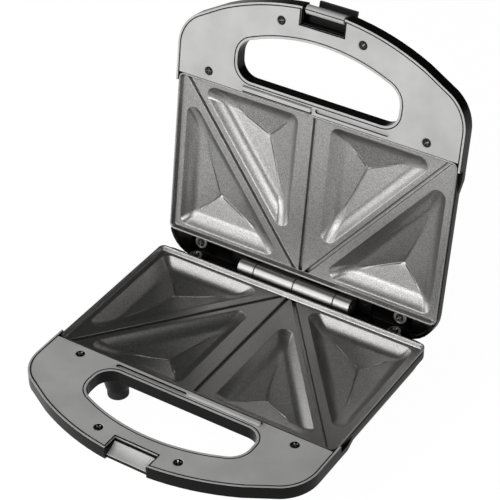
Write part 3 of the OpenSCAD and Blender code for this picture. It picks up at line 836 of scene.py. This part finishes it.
# ---- screws
@dataclass(frozen=True)
class CrossScrew:
    """Screw head with a cross recess, seen from above."""

    radius: float = 3.2
    dome: float = 0.0
    arm: float = 2.0
    width: float = 0.9
    deep: float = 1.1
    edge: float = 0.25
    taper: float = 0.55
    head: float = 1.2
    undercut: float = 0.2
    steps: int = 36

    def build(self, matrix: Matrix) -> Shape:
        """Builds the head with its recess, its top at z = 0.

        Args:
            matrix: its place in the frame.

        Returns:
            The head.
        """
        shape = bmesh.new()
        w, a = self.width / 2, self.arm
        quarter = [(a, -w), (a, w), (w, w)]
        cross: list[Flat] = []
        for c, s in ((1, 0), (0, 1), (-1, 0), (0, -1)):
            cross += [(x * c - y * s, x * s + y * c) for x, y in quarter]
        top = ring_of(shape, cross, 0)
        rim = ring_of(shape, circle(self.radius - self.edge, self.steps), 0)
        fill_between(shape, top, rim)
        floor = ring_of(shape, [(self.taper * x, self.taper * y) for x, y in cross], -self.deep)
        bridge(shape, [top, floor])
        shape.faces.new(floor)
        side = ring_of(shape, circle(self.radius, self.steps), -self.edge)
        lower = ring_of(shape, circle(self.radius - self.undercut, self.steps), -self.head)
        bridge(shape, [rim, side, lower])
        if self.dome:
            for vertex in shape.verts:
                reach = min(1.0, math.hypot(vertex.co.x, vertex.co.y) / self.radius)
                vertex.co.z -= self.dome * reach * reach
        bmesh.ops.transform(shape, matrix=matrix, verts=shape.verts)
        return shape


@dataclass
class Screws:
    """Four trim screws and two plate screws of one half: name, places, head and z of its top."""

    shop: Workshop
    half: Body
    groups: tuple[tuple[str, tuple[Flat, ...], CrossScrew, float], ...] = (
        ("trim_screws", ((86.0, 141.5), (31.5, 195.0)), CrossScrew(), -0.32),
        ("plate_screws", ((83.0, 5.2),), CrossScrew(radius=2.9, dome=0.35), -0.45))
    first_turn: float = 17.0
    next_turn: float = 37.0
    arm_share: float = 0.8
    sunk: float = 0.2

    def build(self) -> None:
        """Builds the screws' heads, with a painted highlight in their cross recesses, and stands them in the
        nodes' places.
        """
        place = self.shop.matrix(self.half)
        for kind, places, screw, top in self.groups:
            shape = bmesh.new()
            turn = self.first_turn
            for x, y in places:
                for mirror in (1, -1):
                    turn += self.next_turn
                    spot = Matrix.Translation((mirror * x, -y, top))
                    pour(shape, screw.build(place @ spot @ Matrix.Rotation(math.radians(turn), 4, "Z")))
            node = f"{self.half.value}_{kind}"
            mesh = finished(shape, f"{node}_heads", Matrix.Identity(4), smooth=False)
            heads = self.shop.add(mesh, f"{node}_heads", self.half, self.shop.finishes.screw,
                                  "dark_screws", [node])

            def painted_highlight_in_cross(centre: Vector, normal: Vector) -> bool:
                """Whether a face lies in a head's cross recess, which is painted lighter as a highlight."""
                off = min(math.hypot(abs(centre.x) - x, centre.y + y) for x, y in places)
                return off < self.arm_share * screw.arm and centre.z < top - screw.dome - self.sunk

            # painted highlight: the cross recesses take the lighter plated steel, standing in for the glint
            # on their edges
            self.shop.second_finish(heads, self.half, self.shop.finishes.steel, painted_highlight_in_cross)


# ---- mouldings and metalwork
@dataclass
class Mouldings:
    """Black housings, grey handle trims, catch and feet, with their edges rounded."""

    shop: Workshop
    housing_edge: float = 0.35
    trim_edge: float = 0.12
    catch_edge: float = 0.3
    foot_edge: float = 0.5
    trim_rear: float = 134.4
    rim_level: float = -0.45
    rim_up: float = 0.6
    hollow_level: float = -0.8
    hollow_up: float = 0.1
    hollow_edge: float = 0.2
    notch_hw: float = 16.2
    notch_back: float = 197.2
    groove_y: float = 138.1
    groove_hw: float = 2.2
    groove_level: float = -0.4
    steep: float = 0.5
    pin: Flat = (206.7, 5.0)
    barrel_r: float = 3.2
    barrel_hw: float = 15.5
    barrel_skin: float = 0.1
    line_at: float = 96.0
    line_wide: float = 13.0
    line_proud: float = 0.05
    line_deep: float = 0.3
    sill_rear: float = -199.6
    sill_front: float = -202.4
    sill_top: float = -7.4
    sill_low: float = -10.0
    sill_edge: float = 0.3
    sill_gap: float = 0.1

    def on_rim(self, centre: Vector, normal: Vector) -> bool:
        """Whether a housing's face lies on top of the handle's rim."""
        return centre.z > self.rim_level and normal.z > self.rim_up and centre.y < -self.trim_rear

    def in_scoop(self, centre: Vector, normal: Vector) -> bool:
        """Whether a face of the base's housing lies on the rim or in the hollow for the catch."""
        inside = abs(centre.x) < self.notch_hw - self.hollow_edge and centre.y < -self.notch_back
        low = centre.z < self.hollow_level and normal.z > self.hollow_up
        return self.on_rim(centre, normal) or (inside and low)

    def painted_shade_in_groove(self, centre: Vector, normal: Vector) -> bool:
        """Whether a trim's face lies deep in the seal's groove; these faces are painted black as the
        groove's shade.
        """
        beside = abs(centre.y + self.groove_y) < self.groove_hw and abs(normal.z) < self.steep
        return beside and centre.z < self.groove_level

    def on_barrel(self, centre: Vector, normal: Vector) -> bool:
        """Whether a face of the catch lies on its barrel."""
        reach = math.hypot(centre.y + self.pin[0], centre.z + self.pin[1])
        return reach < self.barrel_r + self.barrel_skin

    def around_barrel(self) -> None:
        """Builds the sill that closes the catch's well and the dark joint along the catch's barrel."""
        rear, front, edge = self.sill_rear, self.sill_front, self.sill_edge
        top, low = self.sill_top, self.sill_low
        profile = [(rear, top), (front + edge, top), (front, top - edge),
                   (front, low + edge), (front + edge, low), (rear, low)]
        self.shop.inlay(bar(profile, self.notch_hw - self.sill_gap), "catch_well_sill", Body.LID)
        pin, start, wide = (-self.pin[0], -self.pin[1]), self.line_at, self.line_wide
        outline = arc_points(pin, self.barrel_r + self.line_proud, start, wide, 3)
        outline += arc_points(pin, self.barrel_r - self.line_deep, start + wide, -wide, 3)
        self.shop.inlay(bar(outline, self.barrel_hw), "catch_barrel_line", Body.LATCH)

    def build(self) -> None:
        """Stands softened copies in the nodes' places."""
        finish = self.shop.finishes
        for half in HALVES:
            shell = self.shop.softened(f"{half.value}_housing", f"{half.value}_moulded_shell", half,
                                       finish.housing, "housing", self.housing_edge,
                                       least=40, segments=2)
            pale = self.in_scoop if half is Body.BASE else self.on_rim
            self.shop.second_finish(shell, half, finish.trim, pale)
            trim = self.shop.softened(f"{half.value}_handle_trim", f"{half.value}_grey_trim", half,
                                      finish.trim, "handle_trim", self.trim_edge)
            # painted shade: the steep faces deep in the trim's groove take the black finish
            self.shop.second_finish(trim, half, finish.housing, self.painted_shade_in_groove)
        catch = self.shop.softened("latch_clip", "folding_catch", Body.LATCH, finish.catch, "catch",
                                   self.catch_edge)
        self.shop.second_finish(catch, Body.LATCH, finish.trim, self.on_barrel)
        self.around_barrel()
        for corner in ("rear_left", "rear_right", "front_left", "front_right"):
            self.shop.softened(f"foot_{corner}", f"rubber_foot_{corner}", Body.BASE,
                               finish.rubber, "rubber", self.foot_edge)


def ribbon(shape: Shape, path: Sequence[Flat], closed: bool, width: float, top: float, deep: float) -> None:
    """Adds a flat strip that follows a path.

    Args:
        shape: the mesh that is added to.
        path: the strip's middle.
        closed: whether it goes all the way round.
        width: its width.
        top: its upper z.
        deep: how thick it is.
    """
    count = len(path)
    left, right = [], []
    for i, here in enumerate(path):
        before = Vector(path[i - 1] if i or closed else here)
        after = Vector(path[(i + 1) % count] if i < count - 1 or closed else here)
        point = Vector(here)
        steps = [step.normalized() for step in (point - before, after - point) if step.length > 1e-6]
        along = sum(steps, Vector((0, 0))).normalized()
        reach = 0.5 * width / max(0.5, along.dot(steps[0]))
        across = Vector((-along.y, along.x)) * reach
        left.append(tuple(point + across))
        right.append(tuple(point - across))
    corners = ((left, top - deep), (left, top), (right, top), (right, top - deep))
    bridge(shape, [ring_of(shape, side, height) for side, height in corners], closed)


def rounded_d(hw: float, back: float, middle: float, radius: float, front_corner: float,
              back_corner: float) -> list[Flat]:
    """Outline of a rounded D: a straight back, straight sides and a bowed front.

    Args:
        hw: half its width.
        back: distance to its back.
        middle: distance to the centre of its bow.
        radius: the bow's radius.
        front_corner: radius of its front corners.
        back_corner: radius of its back corners, 0 for none.

    Returns:
        The outline.
    """
    inner = hw - front_corner
    front = middle + math.sqrt((radius - front_corner) ** 2 - inner ** 2)
    turn = math.degrees(math.atan2(front - middle, inner))
    right = arc_points((hw - back_corner, -back - back_corner), back_corner, 90, -90, 8)
    if not back_corner:
        right = [(hw, -back)]
    right += arc_points((inner, -front), front_corner, 0, -turn, 12)
    arc = arc_points((0, -middle), radius, -turn, 2 * turn - 180, 60)
    bow = [p for p in arc if abs(p[0]) < inner - 1]
    return right + bow + [(-x, y) for x, y in reversed(right)]


@dataclass
class TrimSeams:
    """Dark joints between each grey trim and the black moulding round it."""

    shop: Workshop
    half: Body
    handle_hw: float = 112.7
    handle_reach: float = 210.2
    bow_r: float = 181.0
    corner_r: float = 30.0
    rear: float = 134.6
    inset: float = 1.95
    finger_hw: float = 63.4
    finger_rear: float = 143.5
    finger_front: float = 185.0
    finger_r: float = 139.7
    collar: float = 2.25
    notch_hw: float = 17.5
    notch_back: float = 195.9
    finger_corner: float = 15.0
    finger_back: float = 12.0
    tail: float = 0.7
    width: float = 0.75
    top: float = -0.11
    deep: float = 0.4
    hole_top: float = -0.26
    hole_deep: float = 0.3

    def outer(self) -> list[Flat]:
        """Path round the trim, in and out of the catch's notch."""
        hw, inset = self.handle_hw - self.inset, self.inset
        path = rounded_d(hw, self.rear, self.handle_reach - self.bow_r, self.bow_r - inset,
                         self.corner_r - inset, 0)
        front = min(p[1] for p in path) + self.tail
        right = [p for p in path if p[0] > self.notch_hw]
        right += [(self.notch_hw, front), (self.notch_hw, -self.notch_back)]
        return right + [(-x, y) for x, y in reversed(right)]

    def build(self) -> None:
        """Builds the joints' dark strips."""
        shape = bmesh.new()
        ribbon(shape, self.outer(), False, self.width, self.top, self.deep)
        g = self.collar
        hole = rounded_d(self.finger_hw + g, self.finger_rear - g, self.finger_front - self.finger_r,
                         self.finger_r + g, self.finger_corner + g, self.finger_back + g)
        ribbon(shape, hole, True, self.width, self.hole_top, self.hole_deep)
        self.shop.inlay(shape, f"{self.half.value}_trim_seams", self.half)


@dataclass
class RibShadeStrips:
    """Dark strips beside the raised rib of each handle's bar: painted shade of the rib, wide on its plate
    side and narrow above it.
    """

    shop: Workshop
    half: Body
    side: int
    middle: float = 138.1
    start: float = 2.6
    end: float = 56.4
    rib_w: float = 2.6
    front_w: float = 2.1
    back_w: float = 0.45
    over: float = 1.2
    corner_share: float = 0.4
    top: float = -0.27
    deep: float = 0.1

    def build(self) -> None:
        """Builds the dark strips of painted shade."""
        shape = bmesh.new()
        reach = self.rib_w / 2
        # painted shade: the wide strip on the plate side stands in for the rib's shadow
        for low, high in ((-reach - self.front_w, -reach), (reach, reach + self.back_w)):
            first, last = self.start - self.over, self.end + self.over
            outline = rounded_rectangle((first, -self.middle - high), (last, -self.middle - low),
                                        self.corner_share * (high - low), 4)
            placed = [(self.side * x, y) for x, y in outline]
            rings = [ring_of(shape, placed, height) for height in (self.top, self.top - self.deep)]
            bridge(shape, rings)
            for ring in rings:
                shape.faces.new(ring)
        self.shop.inlay(shape, f"{self.half.value}_rib_shade_strips", self.half)


@dataclass
class Metalwork:
    """Hinge leaves, pins, elements, shields and the small inner parts."""

    shop: Workshop
    leaf_edge: float = 0.35
    knuckle_end: float = 46.7
    knuckle_low: float = -5.5

    def painted_shade_on_leaf(self, centre: Vector, normal: Vector) -> bool:
        """Whether a leaf's face lies beyond or below the knuckles; these faces are painted dark as the shade
        of the hinge's bay.
        """
        return abs(centre.x) > self.knuckle_end or centre.z < self.knuckle_low

    def build(self) -> None:
        """Dresses the metal and inner parts."""
        finish = self.shop.finishes
        for half in HALVES:
            leaf = self.shop.softened(f"hinge_{half.value}_leaf", f"hinge_leaf_of_{half.value}",
                                      half, finish.steel, "steel", self.leaf_edge)
            # painted shade: the leaf's ends and lower faces take the blackened finish
            self.shop.second_finish(leaf, half, finish.screw, self.painted_shade_on_leaf)
            self.shop.dress(finish.screw, f"hinge_{half.value}_screws")
            self.shop.dress(finish.tube, f"{half.value}_heating_element")
            self.shop.dress(finish.steel, f"{half.value}_heat_shield", f"{half.value}_shield_screws")
        self.shop.dress(finish.steel, "hinge_pin", "latch_pin")
        self.shop.dress(finish.inner, "thermostat", "thermal_fuse", "terminal_block", "lamp_holder")
        self.shop.dress(finish.rubber, "cord_gland")
        self.shop.dress(finish.red, "power_lamp_lens")
        self.shop.dress(finish.green, "ready_lamp_lens")


# ---- studio
@dataclass(frozen=True)
class Lamp:
    """A soft rectangular lamp."""

    name: str
    place: Point
    size: Flat
    power: float

    def build(self, aim: Point) -> None:
        """Adds the lamp.

        Args:
            aim: the point that it looks at.
        """
        light = bpy.data.lights.new(self.name, "AREA")
        light.shape = "RECTANGLE"
        light.size, light.size_y = self.size
        light.energy = self.power
        lamp = stand(self.name, light)
        lamp.location = self.place
        look = Vector(aim) - Vector(self.place)
        lamp.rotation_euler = look.to_track_quat("-Z", "Y").to_euler()


@dataclass
class Studio:
    """Pale floor, soft lamps and the camera at the photograph's viewing angle."""

    azimuth: float = 33.08
    elevation: float = 36.87
    roll: float = -0.714
    focal_pixels: float = 1874.5
    distance: float = 1.2836
    aim: Point = (0.0, 0.0173, 0.069)
    slide: Flat = (-0.0002, 0.03625)
    frame_pixels: float = 500.0
    white_seen: float = 0.9
    white_mirrored: float = 0.4
    sensor: float = 36.0
    clip: Flat = (0.05, 20.0)
    floor_hw: float = 6.0
    floor_drop: float = 0.0005
    floor_tone: Point = (0.92, 0.92, 0.92)
    glow: float = 1.08
    ambient: float = 0.05
    lit: Point = (0.0, 0.02, 0.08)
    lamps: tuple[Lamp, ...] = (Lamp("key lamp", (-0.55, -0.85, 0.95), (0.9, 0.9), 5.8),
                               Lamp("left lamp", (-1.3, -0.25, 0.4), (0.9, 0.7), 4.6),
                               Lamp("right lamp", (0.8, -1.0, 0.65), (0.6, 0.6), 5.0),
                               Lamp("front lamp", (-0.45, -1.35, 0.35), (1.0, 0.5), 6.0))

    def camera(self) -> None:
        """Adds the camera."""
        az, el, roll = (math.radians(v) for v in (self.azimuth, self.elevation, self.roll))
        back = Vector((math.sin(az) * math.cos(el), -math.cos(az) * math.cos(el), math.sin(el)))
        level = Vector((math.cos(az), math.sin(az), 0))
        steep = back.cross(level)
        right = level * math.cos(roll) + steep * math.sin(roll)
        up = steep * math.cos(roll) - level * math.sin(roll)
        data = bpy.data.cameras.new("camera")
        data.sensor_width = self.sensor
        data.lens = self.focal_pixels / self.frame_pixels * self.sensor
        data.clip_start, data.clip_end = self.clip
        camera = stand("camera", data)
        place = Vector(self.aim) + back * self.distance + right * self.slide[0] + up * self.slide[1]
        turn = Matrix((right, up, back)).transposed().to_4x4()
        camera.matrix_world = Matrix.Translation(place) @ turn
        bpy.context.scene.camera = camera

    def floor(self) -> None:
        """Adds a pale floor that shows white and keeps a faint shadow."""
        shape = bmesh.new()
        bmesh.ops.create_grid(shape, x_segments=8, y_segments=8, size=self.floor_hw)
        mesh = finished(shape, "floor", Matrix.Translation((0, 0, -self.floor_drop)))
        floor = stand("floor", mesh)
        tree = NodeTree("pale_floor")
        tree.set(Base_Color=(*self.floor_tone, 1), Roughness=0.9)
        glow = tree.add("Emission", "Emission", {"Strength": self.glow})
        feeds = {"Fac": self.seen_directly(tree), 1: tree.shader.outputs["BSDF"], 2: glow}
        tree.links.new(tree.add("MixShader", "Shader", feeds), tree.output.inputs["Surface"])
        mesh.materials.append(tree.material)

    def seen_directly(self, tree: NodeTree) -> Socket:
        """How much white a ray sees in the floor: most of it straight on, some of it mirrored.

        Args:
            tree: the node tree that is added to.

        Returns:
            The factor.
        """
        path = tree.nodes.new("ShaderNodeLightPath")
        shares = {"Is Camera Ray": self.white_seen, "Is Transmission Ray": self.white_seen,
                  "Is Glossy Ray": self.white_mirrored}
        first, *others = [tree.add("Math", "Value", {0: path.outputs[ray], 1: share}, operation="MULTIPLY")
                          for ray, share in shares.items()]
        for other in others:
            first = tree.add("Math", "Value", {0: first, 1: other}, operation="MAXIMUM")
        return first

    def world(self) -> None:
        """Fills the room with an even pale light, white where it is seen."""
        world = bpy.data.worlds.new("room")
        world.use_nodes = True
        bpy.context.scene.world = world
        room = Nodes(world.node_tree)
        output = room.nodes.new("ShaderNodeOutputWorld")
        feeds = {"Fac": room.add("LightPath", "Is Camera Ray", {}),
                 1: room.add("Background", "Background", {"Color": (1, 1, 1, 1), "Strength": self.ambient}),
                 2: room.add("Background", "Background", {})}
        room.links.new(room.add("MixShader", "Shader", feeds), output.inputs["Surface"])

    def build(self) -> None:
        """Adds camera, floor, room and lamps."""
        self.camera()
        self.floor()
        self.world()
        for lamp in self.lamps:
            lamp.build(self.lit)
        bpy.context.scene.view_settings.view_transform = "Standard"


def main() -> None:
    """Builds the toaster around the frame."""
    logging.basicConfig(level=logging.INFO, format="%(name)s: %(message)s")
    hinge = next(joint for joint in frame["joints"] if joint["name"] == "lid_hinge")
    shop = Workshop(Vector(hinge["pos_m"]), hinge["range_deg"][1])
    Studio().build()
    Mouldings(shop).build()
    for half in HALVES:
        CastPlate(shop, half).build()
        Screws(shop, half).build()
        RibShadeStrips(shop, half, 1 if half is Body.BASE else -1).build()
        TrimSeams(shop, half).build()
    Metalwork(shop).build()


if __name__ == "__main__":
    main()
